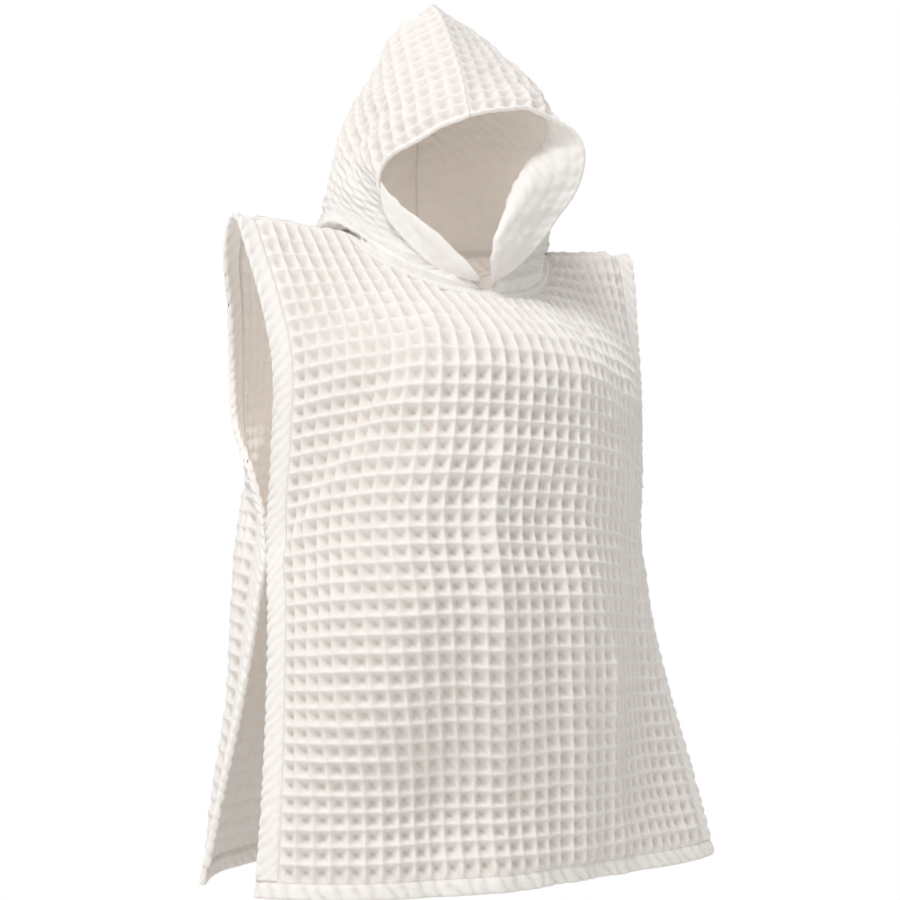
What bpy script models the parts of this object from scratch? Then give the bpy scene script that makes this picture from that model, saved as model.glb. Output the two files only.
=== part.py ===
"""Child's hooded bath poncho in large-waffle cotton towelling, worn open, as if on an unseen wearer.

Front and back are two flat-cut rectangles joined at the shoulders. Their side edges are free, with a
folded hem, and are tacked together at one place under each arm. A pointed two-piece hood is sewn
round the neck hole. Every piece is a wall of real thickness with the hollow of the wearer inside.

Frame: metres, +Z up, front towards -Y, the wearer's right at -X. The origin is at the middle of the
neck, level with the shoulder line, where the wearer carries the garment.
Run with: blender --background --python part.py
"""
import math

import bmesh
import bpy
import numpy as np

MM = 0.001

# ---- Driving sizes, in millimetres ----------------------------------------------------------------
PANEL_WIDTH = 545.0         # each body panel, flat, hem to hem
PANEL_LENGTH = 630.0        # shoulder seam to bottom hem
SIDE_HEM = 24.0             # folded hem down each side edge
BOTTOM_HEM = 17.0           # folded hem along the bottom
CLOTH = 3.0                 # waffle cloth, measured over its ridges
FOLDED = 4.4                # a hem: the same cloth turned and stitched flat
SEAM_GAP = 0.5              # between neighbouring pieces
NECK_HALF_WIDTH = 130.0     # half of the neck hole in the flat cut
NECK_DROP_FRONT = 82.0      # how far the neck hole is cut down the front
NECK_DROP_BACK = 24.0
NECK_BAND = 9.0             # flat band that covers the neck seam
SHOULDER_ROLL = 13.0        # radius of the fold along the shoulder line
TACK_TOP = 284.0            # the side tack, measured down the side edge
TACK_LENGTH = 30.0
TACK_WIDTH = 5.0
TACK_WALL = 1.2
TACK_STAND = 0.6            # slack of the tack's stitches off the hems
PANEL_ROWS = 22             # facets down a panel
ROW_CLOSENESS = 1.35        # over 1, the rows lie closer together near the shoulder
BESIDE_COLUMNS = 7          # lines of points across a panel between its hem and the neck hole
NECK_STEPS = 14             # facets in each half of the neck hole
SHARP_ANGLE = 50.0

# ---- How the panels hang --------------------------------------------------------------------------
# A row is a level section of a panel at one distance down the cloth. Its two side edges are at the
# given height and at the given places in plan. The middle of the row stands higher by its rise.
# Between its edges the cloth runs in the given headings, in degrees, at nine stations spaced evenly
# from the wearer's right edge to the left one: 0 is straight across the body towards the wearer's
# left, minus leads forward and plus leads back. Each row is stretched a little to meet its edges.
STATIONS = np.linspace(0.0, 1.0, 9)
FINE_COLUMNS = 107          # points at which the hanging cloth is worked out
FINE_ROWS = 121
ROW_SAMPLES = 61            # points along a hood row before it is spaced evenly
ARCH_POWER = 2.4            # a row's rise over its middle: 2 is a parabola, more is flatter
FRONT_SECTIONS = (
    # down, height, rise, right edge x, y, left edge x, y, headings
    (0, -3, -15, -213, 0, 212, 0, (-8, -6, -4, -2, 0, 2, 4, 6, 8)),
    (7, -4, -15, -213, 0, 212, 0, (-8, -6, -4, -2, 0, 2, 4, 6, 8)),
    (30, -27, -9, -211, -12, 210, -8, (-12, -12, -9, -5, 0, 3, 6, 8, 10)),
    (80, -86, 12, -203, -38, 205, -20, (-26, -25, -20, -10, 0, 6, 12, 17, 22)),
    (140, -147, 18, -194, -50, 205, -24, (-54, -54, -46, -18, 2, 16, 26, 34, 40)),
    (220, -226, 17, -190, -40, 206, -22, (-66, -64, -54, -14, 0, 18, 30, 39, 48)),
    (299, -302, 15, -190, -30, 204, -22, (-70, -68, -54, -8, 2, 20, 33, 42, 54)),
    (370, -368, 13, -192, -42, 213, -24, (-70, -68, -44, -6, 0, 24, 34, 38, 52)),
    (460, -453, 9, -195, -48, 235, -26, (-68, -60, -24, -6, -4, 22, 34, 26, 44)),
    (550, -537, 3, -201, -54, 262, -28, (-58, -36, -8, -10, -6, 24, 26, 14, 38)),
    (630, -612, 0, -207, -56, 284, -28, (-50, -30, -14, -4, 8, 24, 6, 20, 40)),
)
BACK_SECTIONS = (
    (0, -3, -15, -213, 0, 212, 0, (8, 6, 4, 2, 0, -2, -4, -6, -8)),
    (7, -4, -15, -213, 0, 212, 0, (8, 6, 4, 2, 0, -2, -4, -6, -8)),
    (30, -27, -9, -210, 18, 209, 16, (12, 12, 8, 4, 0, -4, -8, -12, -12)),
    (80, -85, 10, -196, 44, 197, 42, (26, 24, 18, 8, 0, -8, -18, -24, -26)),
    (140, -147, 15, -187, 62, 190, 60, (36, 34, 26, 11, 0, -11, -26, -34, -36)),
    (180, -188, 16, -186, 54, 190, 48, (50, 44, 30, 12, 0, -12, -30, -44, -50)),
    (240, -246, 15, -188, -10, 196, -4, (80, 64, 38, 12, -2, -12, -38, -60, -78)),
    (299, -302, 13, -190, -54.5, 204, -44, (94, 76, 44, 12, -2, -14, -42, -70, -92)),
    (370, -368, 11, -196, -50, 209, -36, (92, 74, 42, 8, 0, -14, -44, -66, -88)),
    (460, -453, 8, -206, -36, 220, -20, (82, 64, 36, 4, 2, -18, -46, -52, -78)),
    (550, -537, 3, -218, -18, 232, -2, (76, 56, 26, -2, 6, -18, -44, -38, -68)),
    (630, -612, 0, -229, -2, 242, 14, (64, 46, 20, -6, 8, -20, -42, -30, -58)),
)

# ---- The hood -------------------------------------------------------------------------------------
# Each hood half is a net of lines that run from the neck seam up to the crown seam: its face edge,
# the fold where the front rolls open like a lapel, the cheek, the corner behind the ear and the
# centre seam down the back. The hood is turned a little to the wearer's right. Each line starts at
# its share of the neck seam. All five lines end on the crown seam, from the face edge to the peak.
HOOD_SHARES = (0.0, 0.12, 0.38, 0.68, 1.0)
HOOD_FEET = (0.0, 0.06, 0.38, 0.68, 1.0)     # where those lines meet the neck edge, V to nape
HOOD_HEIGHTS = (0.0, 0.05, 0.16, 0.32, 0.48, 0.64, 0.81, 0.92, 1.0)
HOOD_CROWN = ((-29, -128, 81), (-27, -118, 96), (-20, -89, 136), (-8, -30, 201), (0, 22, 242))
HOOD_SEAM = ((5, 60, 8), (13, 84, 64), (18, 92, 116), (16, 88, 160), (9, 70, 205), (4, 50, 231))
HOOD_LINES = {              # x, y, z at the last six heights below the crown seam
    "right": (
        ((-32, -90, -60), (-61, -73, -34), (-82, -54, 3), (-85, -57, 44), (-61, -95, 65), (-46, -112, 74)),
        ((-20, -106, -58), (-50, -94, -24), (-79, -66, 12), (-88, -40, 56), (-65, -82, 80), (-48, -101, 90)),
        ((-107, -18, -9), (-99, -2, 10), (-95, 0, 42), (-85, -10, 80), (-64, -38, 124), (-44, -62, 135)),
        ((-104, 20, -7), (-95, 46, 22), (-82, 63, 72), (-71, 58, 119), (-47, 44, 170), (-30, 19, 206)),
        HOOD_SEAM,
    ),
    "left": (
        ((32, -113, -46), (62, -119, -8), (89, -125, 36), (84, -131, 74), (27, -133, 93), (2, -132, 89)),
        ((6, -121, -41), (15, -125, -6), (36, -122, 33), (66, -112, 78), (41, -120, 108), (10, -120, 106)),
        ((103, -24, -9), (95, -37, 24), (93, -46, 66), (88, -58, 98), (66, -70, 138), (27, -78, 145)),
        ((102, 24, -4), (91, 46, 50), (85, 50, 103), (74, 38, 148), (52, 10, 188), (32, 6, 213)),
        HOOD_SEAM,
    ),
}
HOOD_COLUMNS = 15
HOOD_ROWS = 14
HOOD_STAND = 4.6            # the hood's lower edge stands this far off the middle of the body's cloth
HOOD_FRONT_SHARE = 0.56     # how much of a half's neck seam lies on the front panel
HOOD_DRAW = 3.0             # how quickly a half leaves the neck seam for its own lines: a power
HOOD_RISE = 10.0            # at its second height the hood stands this much further off the body
HOOD_SPREAD = {-1: 11.0, 1: 3.0}    # and its front edge is this far aside, on the right and the left
SEAM_INSET = 0.4            # each hood half stops this far from the middle of the crown seam
SEAM_REACH = 0.05           # and is drawn aside over this share of the piece

# ---- Colours --------------------------------------------------------------------------------------
IVORY = (0.86, 0.83, 0.79)
IVORY_HEM = (0.88, 0.85, 0.81)
THREAD = (0.84, 0.81, 0.76)


def glide(keys, rows, at):
    """Reads a table smoothly between its rows: a cubic whose slopes come from the neighbours."""
    keys = np.asarray(keys, float)
    rows = np.asarray(rows, float)
    at = np.atleast_1d(np.asarray(at, float))
    slopes = np.gradient(rows, keys, axis=0)
    low = np.clip(np.searchsorted(keys, at, side="right") - 1, 0, len(keys) - 2)
    span = keys[low + 1] - keys[low]
    shape = (len(at),) + (1,) * (rows.ndim - 1)
    t = ((at - keys[low]) / span).reshape(shape)
    span = span.reshape(shape)
    return (rows[low] * (1 + 2 * t) * (1 - t) ** 2 + slopes[low] * span * t * (1 - t) ** 2
            + rows[low + 1] * t * t * (3 - 2 * t) + slopes[low + 1] * span * t * t * (t - 1))


def hang(sections, side):
    """Works out where a panel's cloth lies: a fine grid of points over its flat cut.

    side is -1 for the front and 1 for the back, which both roll away from the shoulder line.
    """
    across = np.linspace(-PANEL_WIDTH / 2, PANEL_WIDTH / 2, FINE_COLUMNS)
    down = np.linspace(0.0, PANEL_LENGTH, FINE_ROWS)
    keys = [row[0] for row in sections]
    levels = glide(keys, [row[1:7] for row in sections], down)
    headings = glide(keys, [row[7] for row in sections], down)
    middle = (across[1:] + across[:-1]) / 2
    points = np.zeros((len(down), len(across), 3))
    for k, v in enumerate(down):
        height, rise, right_x, right_y, left_x, left_y = levels[k]
        turn = np.radians(glide(STATIONS, headings[k], middle / PANEL_WIDTH + 0.5))
        run = np.concatenate(([0.0], np.cumsum(np.exp(1j * turn))))
        right = complex(right_x, right_y)
        left = complex(left_x, left_y)
        plan = right + run * (left - right) / run[-1]
        roll = side * SHOULDER_ROLL * math.sin(min(v / SHOULDER_ROLL, math.pi / 2))
        arch = 1.0 - np.abs(2.0 * across / PANEL_WIDTH) ** ARCH_POWER
        points[k] = np.stack((plan.real, plan.imag + roll, height + rise * arch), axis=-1)
    return across, down, points


FRONT = hang(FRONT_SECTIONS, -1)
BACK = hang(BACK_SECTIONS, 1)


def place(panel, across, down):
    """The worn place of one point of a panel's flat cut, on the middle of the cloth."""
    columns, levels, points = panel
    line = glide(levels, points, [down])[0]
    return glide(columns, line, [across])[0]


def lay(panel, across, down, offset):
    """The same point moved out of the cloth by an offset; a minus offset is on the inside."""
    along = place(panel, across + 1.0, down) - place(panel, across - 1.0, down)
    fall = place(panel, across, down + 1.0) - place(panel, across, max(down - 1.0, 0.0))
    out = np.cross(fall, along) if panel is FRONT else np.cross(along, fall)
    return place(panel, across, down) + out * offset / np.linalg.norm(out)


def neck_edge(drop, share, margin):
    """A point of the neck hole's edge in the flat cut, at a share of the way round (-1 to 1)."""
    angle = share * math.pi / 2
    return (NECK_HALF_WIDTH + margin) * math.sin(angle), (drop + margin) * math.cos(angle)


def panel_columns():
    """Places across a panel: even beside the neck hole, closer together towards its corners."""
    start = PANEL_WIDTH / 2 - SIDE_HEM - SEAM_GAP / 2
    hole = NECK_HALF_WIDTH + NECK_BAND + SEAM_GAP
    beside = np.linspace(start, hole, BESIDE_COLUMNS)
    inside = [hole * math.sin(k * math.pi / NECK_STEPS) for k in range(NECK_STEPS // 2 - 1, 0, -1)]
    half = list(beside) + inside
    return [-u for u in half] + [0.0] + half[::-1]


def panel_rows(top):
    """Places down a column of a panel, from its top to the bottom hem, closer near the shoulder."""
    end = PANEL_LENGTH - BOTTOM_HEM - SEAM_GAP / 2
    return [top + (end - top) * (k / PANEL_ROWS) ** ROW_CLOSENESS for k in range(PANEL_ROWS + 1)]


def panel_places(neck_drop):
    """Flat places of the panel between its hems and below the neck band, row by row."""
    hole = NECK_HALF_WIDTH + NECK_BAND + SEAM_GAP
    depth = neck_drop + NECK_BAND + SEAM_GAP
    columns = []
    for u in panel_columns():
        top = depth * math.sqrt(max(1.0 - (u / hole) ** 2, 0.0)) + SEAM_GAP / 2
        columns.append([(u, v) for v in panel_rows(top)])
    return [list(line) for line in zip(*columns)]


def neck_ring(margin, offset):
    """A closed ring round the neck hole, over the front and back round the nape."""
    turns = [1.0 - 2.0 * k / NECK_STEPS for k in range(NECK_STEPS)]
    front = [lay(FRONT, *neck_edge(NECK_DROP_FRONT, turn, margin), offset) for turn in turns]
    back = [lay(BACK, *neck_edge(NECK_DROP_BACK, -turn, margin), offset) for turn in turns]
    return front + back


def hood_corner(side, share, rise=0.0):
    """The neck hole's edge under a hood half, from the V at the front (0) to the nape (1)."""
    if share <= HOOD_FRONT_SHARE:
        turn = side * share / HOOD_FRONT_SHARE
        return lay(FRONT, *neck_edge(NECK_DROP_FRONT, turn, -rise), HOOD_STAND + rise)
    turn = side * (1.0 - share) / (1.0 - HOOD_FRONT_SHARE)
    return lay(BACK, *neck_edge(NECK_DROP_BACK, turn, -rise), HOOD_STAND + rise)


def hood_grid(side):
    """One hood half: a grid of points, evenly spaced along each row, with the neck seam as row 0."""
    inner = HOOD_LINES["right" if side < 0 else "left"]
    net = np.array([[hood_corner(side, foot), hood_corner(side, foot, HOOD_RISE), *line, top]
                    for foot, line, top in zip(HOOD_FEET, inner, HOOD_CROWN)])
    net[0, 1, 0] += side * HOOD_SPREAD[side]
    grid = np.zeros((HOOD_ROWS + 1, HOOD_COLUMNS + 1, 3))
    for k, up in enumerate(np.linspace(0.0, 1.0, HOOD_ROWS + 1)):
        level = glide(HOOD_HEIGHTS, net.transpose(1, 0, 2), [up])[0]
        line = glide(HOOD_SHARES, level, np.linspace(0.0, 1.0, ROW_SAMPLES))
        run = np.concatenate(([0.0], np.cumsum(np.linalg.norm(np.diff(line, axis=0), axis=1))))
        for j, along in enumerate(np.linspace(0.0, 1.0, HOOD_COLUMNS + 1)):
            point = np.array([np.interp(along * run[-1], run, line[:, axis]) for axis in range(3)])
            aside = max(math.exp((up - 1.0) / SEAM_REACH), math.exp((along - 1.0) / SEAM_REACH),
                        math.exp(-(along + up) / SEAM_REACH))
            point[0] += side * SEAM_INSET * aside
            grid[k, j] = point
    fading = (1.0 - np.linspace(0.0, 1.0, HOOD_ROWS + 1)) ** HOOD_DRAW
    for j in range(HOOD_COLUMNS + 1):
        foot = float(np.interp(j / HOOD_COLUMNS, HOOD_SHARES, HOOD_FEET))
        drawn = hood_corner(side, foot) - grid[0, j]
        drawn[0] += side * SEAM_INSET * (j in (0, HOOD_COLUMNS))
        grid[:, j] += drawn * fading[:, None]
    return grid


def make_material(name, colour, roughness):
    material = bpy.data.materials.new(name)
    material.use_nodes = True
    shader = material.node_tree.nodes["Principled BSDF"]
    shader.inputs["Base Color"].default_value = (*colour, 1.0)
    shader.inputs["Roughness"].default_value = roughness
    shader.inputs["Metallic"].default_value = 0.0
    return material


def add_piece(name, mesh, material, collection):
    mesh.shade_smooth()
    mesh.set_sharp_from_angle(angle=math.radians(SHARP_ANGLE))
    mesh.materials.append(material)
    piece = bpy.data.objects.new(name, mesh)
    collection.objects.link(piece)
    return piece


def loft(form, lines, closed=False):
    """Joins neighbouring lines of points, in millimetres, with faces. Returns the vertices."""
    rows = [[form.verts.new(np.asarray(point) * MM) for point in line] for line in lines]
    for upper, lower in zip(rows, rows[1:]):
        for k in range(len(upper) if closed else len(upper) - 1):
            after = (k + 1) % len(upper)
            form.faces.new((upper[k], lower[k], lower[after], upper[after]))
    return rows


def make_lofted_wall(name, outer, inner, material, collection, closed=False):
    """A cloth wall between its outer and inner skin, so that seam faces of neighbours are parallel."""
    form = bmesh.new()
    skins = [loft(form, lines, closed) for lines in (outer, inner)]
    rims = [[rows[0] for rows in skins], [rows[-1] for rows in skins]]
    if not closed:
        rims += [[[line[end] for line in rows] for rows in skins] for end in (0, -1)]
    for first, second in rims:
        for k in range(len(first) if closed else len(first) - 1):
            after = (k + 1) % len(first)
            form.faces.new((first[k], second[k], second[after], first[after]))
    bmesh.ops.recalc_face_normals(form, faces=form.faces)
    if form.calc_volume(signed=True) < 0.0:
        bmesh.ops.reverse_faces(form, faces=form.faces)
    mesh = bpy.data.meshes.new(name)
    form.to_mesh(mesh)
    form.free()
    return add_piece(name, mesh, material, collection)


def make_panel_piece(name, panel, places, thickness, material, collection):
    """A piece of a panel, from rows of flat places."""
    skins = [[[lay(panel, u, v, offset) for u, v in line] for line in places]
             for offset in (thickness / 2, -thickness / 2)]
    make_lofted_wall(name, *skins, material, collection)


def make_solidified_wall(name, lines, thickness, material, collection):
    """A wall of even thickness round the loft of its middle surface."""
    form = bmesh.new()
    loft(form, lines)
    mesh = bpy.data.meshes.new(name)
    form.to_mesh(mesh)
    form.free()
    wall = add_piece(name, mesh, material, collection)
    solid = wall.modifiers.new("cloth", "SOLIDIFY")
    solid.thickness = thickness * MM
    solid.offset = 0.0
    return wall


def make_body(collection, cloth, hem):
    """Front and back panels, each with two side hems and a bottom hem."""
    edge = PANEL_WIDTH / 2
    seam = edge - SIDE_HEM + SEAM_GAP / 2
    hem_top = PANEL_LENGTH - BOTTOM_HEM + SEAM_GAP / 2
    side_rows = panel_rows(SEAM_GAP / 2)
    across = [-edge, -seam, *panel_columns()[1:-1], seam, edge]
    bottom_places = [[(u, v) for u in across] for v in (hem_top, PANEL_LENGTH)]
    for name, panel, neck_drop in (("front", FRONT, NECK_DROP_FRONT), ("back", BACK, NECK_DROP_BACK)):
        make_panel_piece(name + "_panel", panel, panel_places(neck_drop), CLOTH, cloth, collection)
        make_panel_piece(name + "_bottom_hem", panel, bottom_places, FOLDED, hem, collection)
        for side, columns in (("right", (-edge, -seam)), ("left", (seam, edge))):
            places = [[(u, v) for u in columns] for v in side_rows]
            make_panel_piece(f"{name}_side_hem_{side}", panel, places, FOLDED, hem, collection)


def make_neck_band(collection, hem):
    skins = [[neck_ring(0.0, offset), neck_ring(NECK_BAND, offset)] for offset in (CLOTH / 2, -CLOTH / 2)]
    make_lofted_wall("neck_band", *skins, hem, collection, closed=True)


def make_hood(collection, cloth):
    """The two halves of the hood, mitred where they meet along the crown and down the back."""
    grids = {side: hood_grid(side) for side in (-1, 1)}
    outs = {side: side * np.cross(np.gradient(grid, axis=1), np.gradient(grid, axis=0))
            for side, grid in grids.items()}
    for out in outs.values():
        out *= CLOTH / 2 / np.linalg.norm(out, axis=2, keepdims=True)
    shared = outs[-1] + outs[1]
    shared[-1, -1] = shared[-1, -2] + shared[-2, -1]
    shared *= CLOTH / 2 / np.maximum(np.linalg.norm(shared, axis=2, keepdims=True), MM)
    for name, side in (("right", -1), ("left", 1)):
        outs[side][-1] = shared[-1]
        outs[side][:, -1] = shared[:, -1]
        skins = [grids[side] + outs[side], grids[side] - outs[side]]
        make_lofted_wall("hood_" + name, *skins, cloth, collection)


def make_tacks(collection, thread):
    """The bar of stitches that joins front and back edge to edge under each arm."""
    edge = PANEL_WIDTH / 2
    for name, side in (("right", -1), ("left", 1)):
        middle = []
        for v in (TACK_TOP, TACK_TOP + TACK_LENGTH / 2, TACK_TOP + TACK_LENGTH):
            ends = place(FRONT, side * edge, v), place(BACK, side * edge, v)
            inner = place(FRONT, side * (edge - TACK_WIDTH), v), place(BACK, side * (edge - TACK_WIDTH), v)
            along = inner[0] - inner[1]
            along /= np.linalg.norm(along)
            out = np.array((-along[1], along[0], 0.0))
            out *= side * np.sign(out[0]) / np.linalg.norm(out)
            centre = (ends[0] + ends[1]) / 2 + out * (FOLDED / 2 + SEAM_GAP + TACK_WALL / 2 + TACK_STAND)
            middle.append([centre - along * TACK_WIDTH / 2, centre + along * TACK_WIDTH / 2])
        make_solidified_wall("side_tack_" + name, middle, TACK_WALL, thread, collection)


def main():
    for old in list(bpy.data.objects):
        bpy.data.objects.remove(old, do_unlink=True)
    collection = bpy.data.collections.new("hooded_bath_poncho")
    bpy.context.scene.collection.children.link(collection)
    cloth = make_material("waffle_cotton", IVORY, 0.95)
    hem = make_material("hem_cotton", IVORY_HEM, 0.93)
    thread = make_material("sewing_thread", THREAD, 0.8)
    make_body(collection, cloth, hem)
    make_neck_band(collection, hem)
    make_hood(collection, cloth)
    make_tacks(collection, thread)


main()
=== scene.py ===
# %% [markdown]
# # A child's hooded bath poncho in large-waffle cotton
#
# The garment is two flat rectangles of waffle cloth joined at the shoulders, with free hemmed side
# edges that are tacked together under each arm, and a pointed hood sewn round the neck hole. It is
# shown worn and open, with nobody inside.
#
# The cloth could be simulated, but a draped simulation never repeats one worn shape exactly. Here the
# worn shape is drawn as sections of the hanging cloth, and every piece is read from that one shape:
# panels, hems, bands and stitches then meet without any fitting.

# %% The frame
import math

import bpy
import numpy as np
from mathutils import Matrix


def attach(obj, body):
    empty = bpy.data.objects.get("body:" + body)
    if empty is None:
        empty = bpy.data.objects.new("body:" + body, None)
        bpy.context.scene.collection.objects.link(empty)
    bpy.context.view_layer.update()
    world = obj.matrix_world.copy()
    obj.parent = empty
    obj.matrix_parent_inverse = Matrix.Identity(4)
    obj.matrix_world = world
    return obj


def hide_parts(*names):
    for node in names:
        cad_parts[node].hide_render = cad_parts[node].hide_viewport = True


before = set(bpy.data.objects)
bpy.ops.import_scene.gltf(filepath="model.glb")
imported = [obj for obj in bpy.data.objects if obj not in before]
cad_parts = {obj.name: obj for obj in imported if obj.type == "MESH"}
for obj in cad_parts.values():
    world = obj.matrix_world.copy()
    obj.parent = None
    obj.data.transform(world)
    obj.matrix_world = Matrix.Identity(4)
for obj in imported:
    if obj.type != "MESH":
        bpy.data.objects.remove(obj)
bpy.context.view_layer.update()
MM = 0.001

# %% [markdown]
# ## Camera, floor and light
#
# The view is from the wearer's right, from a little below the chest, with a long lens. The light is
# a bright studio: white all round, a soft lamp high at the front left, which shades the wells of the
# waffle on their upper walls, and a wide low one at the left, which lifts the hood's cheek. Thin
# cotton lets some light through, which warms the hollows; two weak lamps inside stand for it.

# %% Camera
AIM = math.radians(25.7)
DISTANCE = 1.571
SIDESTEP = 0.0106
camera = bpy.data.objects.new("camera", bpy.data.cameras.new("camera"))
camera.data.lens = 64.84
camera.location = (SIDESTEP * math.cos(AIM) - DISTANCE * math.sin(AIM),
                   -SIDESTEP * math.sin(AIM) - DISTANCE * math.cos(AIM), -0.352)
camera.rotation_euler = (math.radians(95.07), 0.0, -AIM)
bpy.context.scene.collection.objects.link(camera)
bpy.context.scene.camera = camera


# %% Lamps and floor
def add_lamp(name, place, target, size, power, colour=(1.0, 1.0, 1.0)):
    """A square soft lamp at a place, turned towards a target."""
    lamp = bpy.data.objects.new(name, bpy.data.lights.new(name, "AREA"))
    lamp.data.size = size
    lamp.data.energy = power
    lamp.data.color = colour
    lamp.location = place
    way = lamp.location.copy()
    way.x, way.y, way.z = (t - p for t, p in zip(target, place))
    lamp.rotation_euler = way.to_track_quat("-Z", "Y").to_euler()
    bpy.context.scene.collection.objects.link(lamp)
    return lamp


add_lamp("key_lamp", (-2.4, -2.1, 3.9), (0.0, 0.0, -0.5), 1.6, 118.0, (1.0, 0.994, 0.985))
add_lamp("front_lamp", (-2.9, -1.6, -0.6), (0.0, 0.0, -0.3), 2.2, 20.0, (1.0, 0.994, 0.985))
for name, place, power in (("hood_lamp", (0.0, -0.01, 0.06), 0.06), ("body_lamp", (0.0, 0.0, -0.2), 0.3)):
    glow = bpy.data.objects.new(name, bpy.data.lights.new(name, "POINT"))
    glow.data.energy = power
    glow.data.shadow_soft_size = 0.05
    glow.data.color = (1.0, 0.88, 0.78)
    glow.location = place
    glow.visible_camera = False
    bpy.context.scene.collection.objects.link(glow)

bpy.context.scene.view_settings.view_transform = "Standard"
world = bpy.data.worlds.new("studio")
bpy.context.scene.world = world
world.use_nodes = True
sky = world.node_tree.nodes["Background"]
sky.inputs["Color"].default_value = (1.0, 0.99, 0.98, 1.0)
sky.inputs["Strength"].default_value = 0.71
backdrop = world.node_tree.nodes.new("ShaderNodeBackground")
backdrop.inputs["Color"].default_value = (1.0, 1.0, 1.0, 1.0)
backdrop.inputs["Strength"].default_value = 1.0
seen = world.node_tree.nodes.new("ShaderNodeLightPath")
choice = world.node_tree.nodes.new("ShaderNodeMixShader")
world.node_tree.links.new(seen.outputs["Is Camera Ray"], choice.inputs["Fac"])
world.node_tree.links.new(sky.outputs[0], choice.inputs[1])
world.node_tree.links.new(backdrop.outputs[0], choice.inputs[2])
world.node_tree.links.new(choice.outputs[0], world.node_tree.nodes["World Output"].inputs["Surface"])

FLOOR_HEIGHT = -0.86
floor_mesh = bpy.data.meshes.new("floor")
reach = 30.0
floor_corners = ((-1, -1), (1, -1), (1, 1), (-1, 1))
floor_mesh.from_pydata([(x * reach, y * reach, FLOOR_HEIGHT) for x, y in floor_corners], [], [(0, 1, 2, 3)])
floor = bpy.data.objects.new("floor", floor_mesh)
bpy.context.scene.collection.objects.link(floor)
floor_paint = bpy.data.materials.new("floor_paint")
floor_paint.use_nodes = True
floor_shader = floor_paint.node_tree.nodes["Principled BSDF"]
floor_shader.inputs["Base Color"].default_value = (0.8, 0.79, 0.77, 1.0)
floor_shader.inputs["Roughness"].default_value = 0.9
glow = floor_paint.node_tree.nodes.new("ShaderNodeEmission")
direct = floor_paint.node_tree.nodes.new("ShaderNodeLightPath")
either = floor_paint.node_tree.nodes.new("ShaderNodeMixShader")
floor_paint.node_tree.links.new(direct.outputs["Is Camera Ray"], either.inputs["Fac"])
floor_paint.node_tree.links.new(floor_shader.outputs[0], either.inputs[1])
floor_paint.node_tree.links.new(glow.outputs[0], either.inputs[2])
floor_paint.node_tree.links.new(either.outputs[0],
                                floor_paint.node_tree.nodes["Material Output"].inputs["Surface"])
floor_mesh.materials.append(floor_paint)
print("camera at", [round(c, 3) for c in camera.location], "floor at", FLOOR_HEIGHT)

# %% [markdown]
# ## The flat cut and how it hangs
#
# A row below is a level section of a panel at one distance down the cloth: the height of its side
# edges, how much higher its middle stands, where its two side edges are in plan, and the headings in
# which the cloth runs between them, in degrees. Minus leads to the front and plus to the back. All
# sizes are millimetres here and become metres when a mesh is made.

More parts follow.
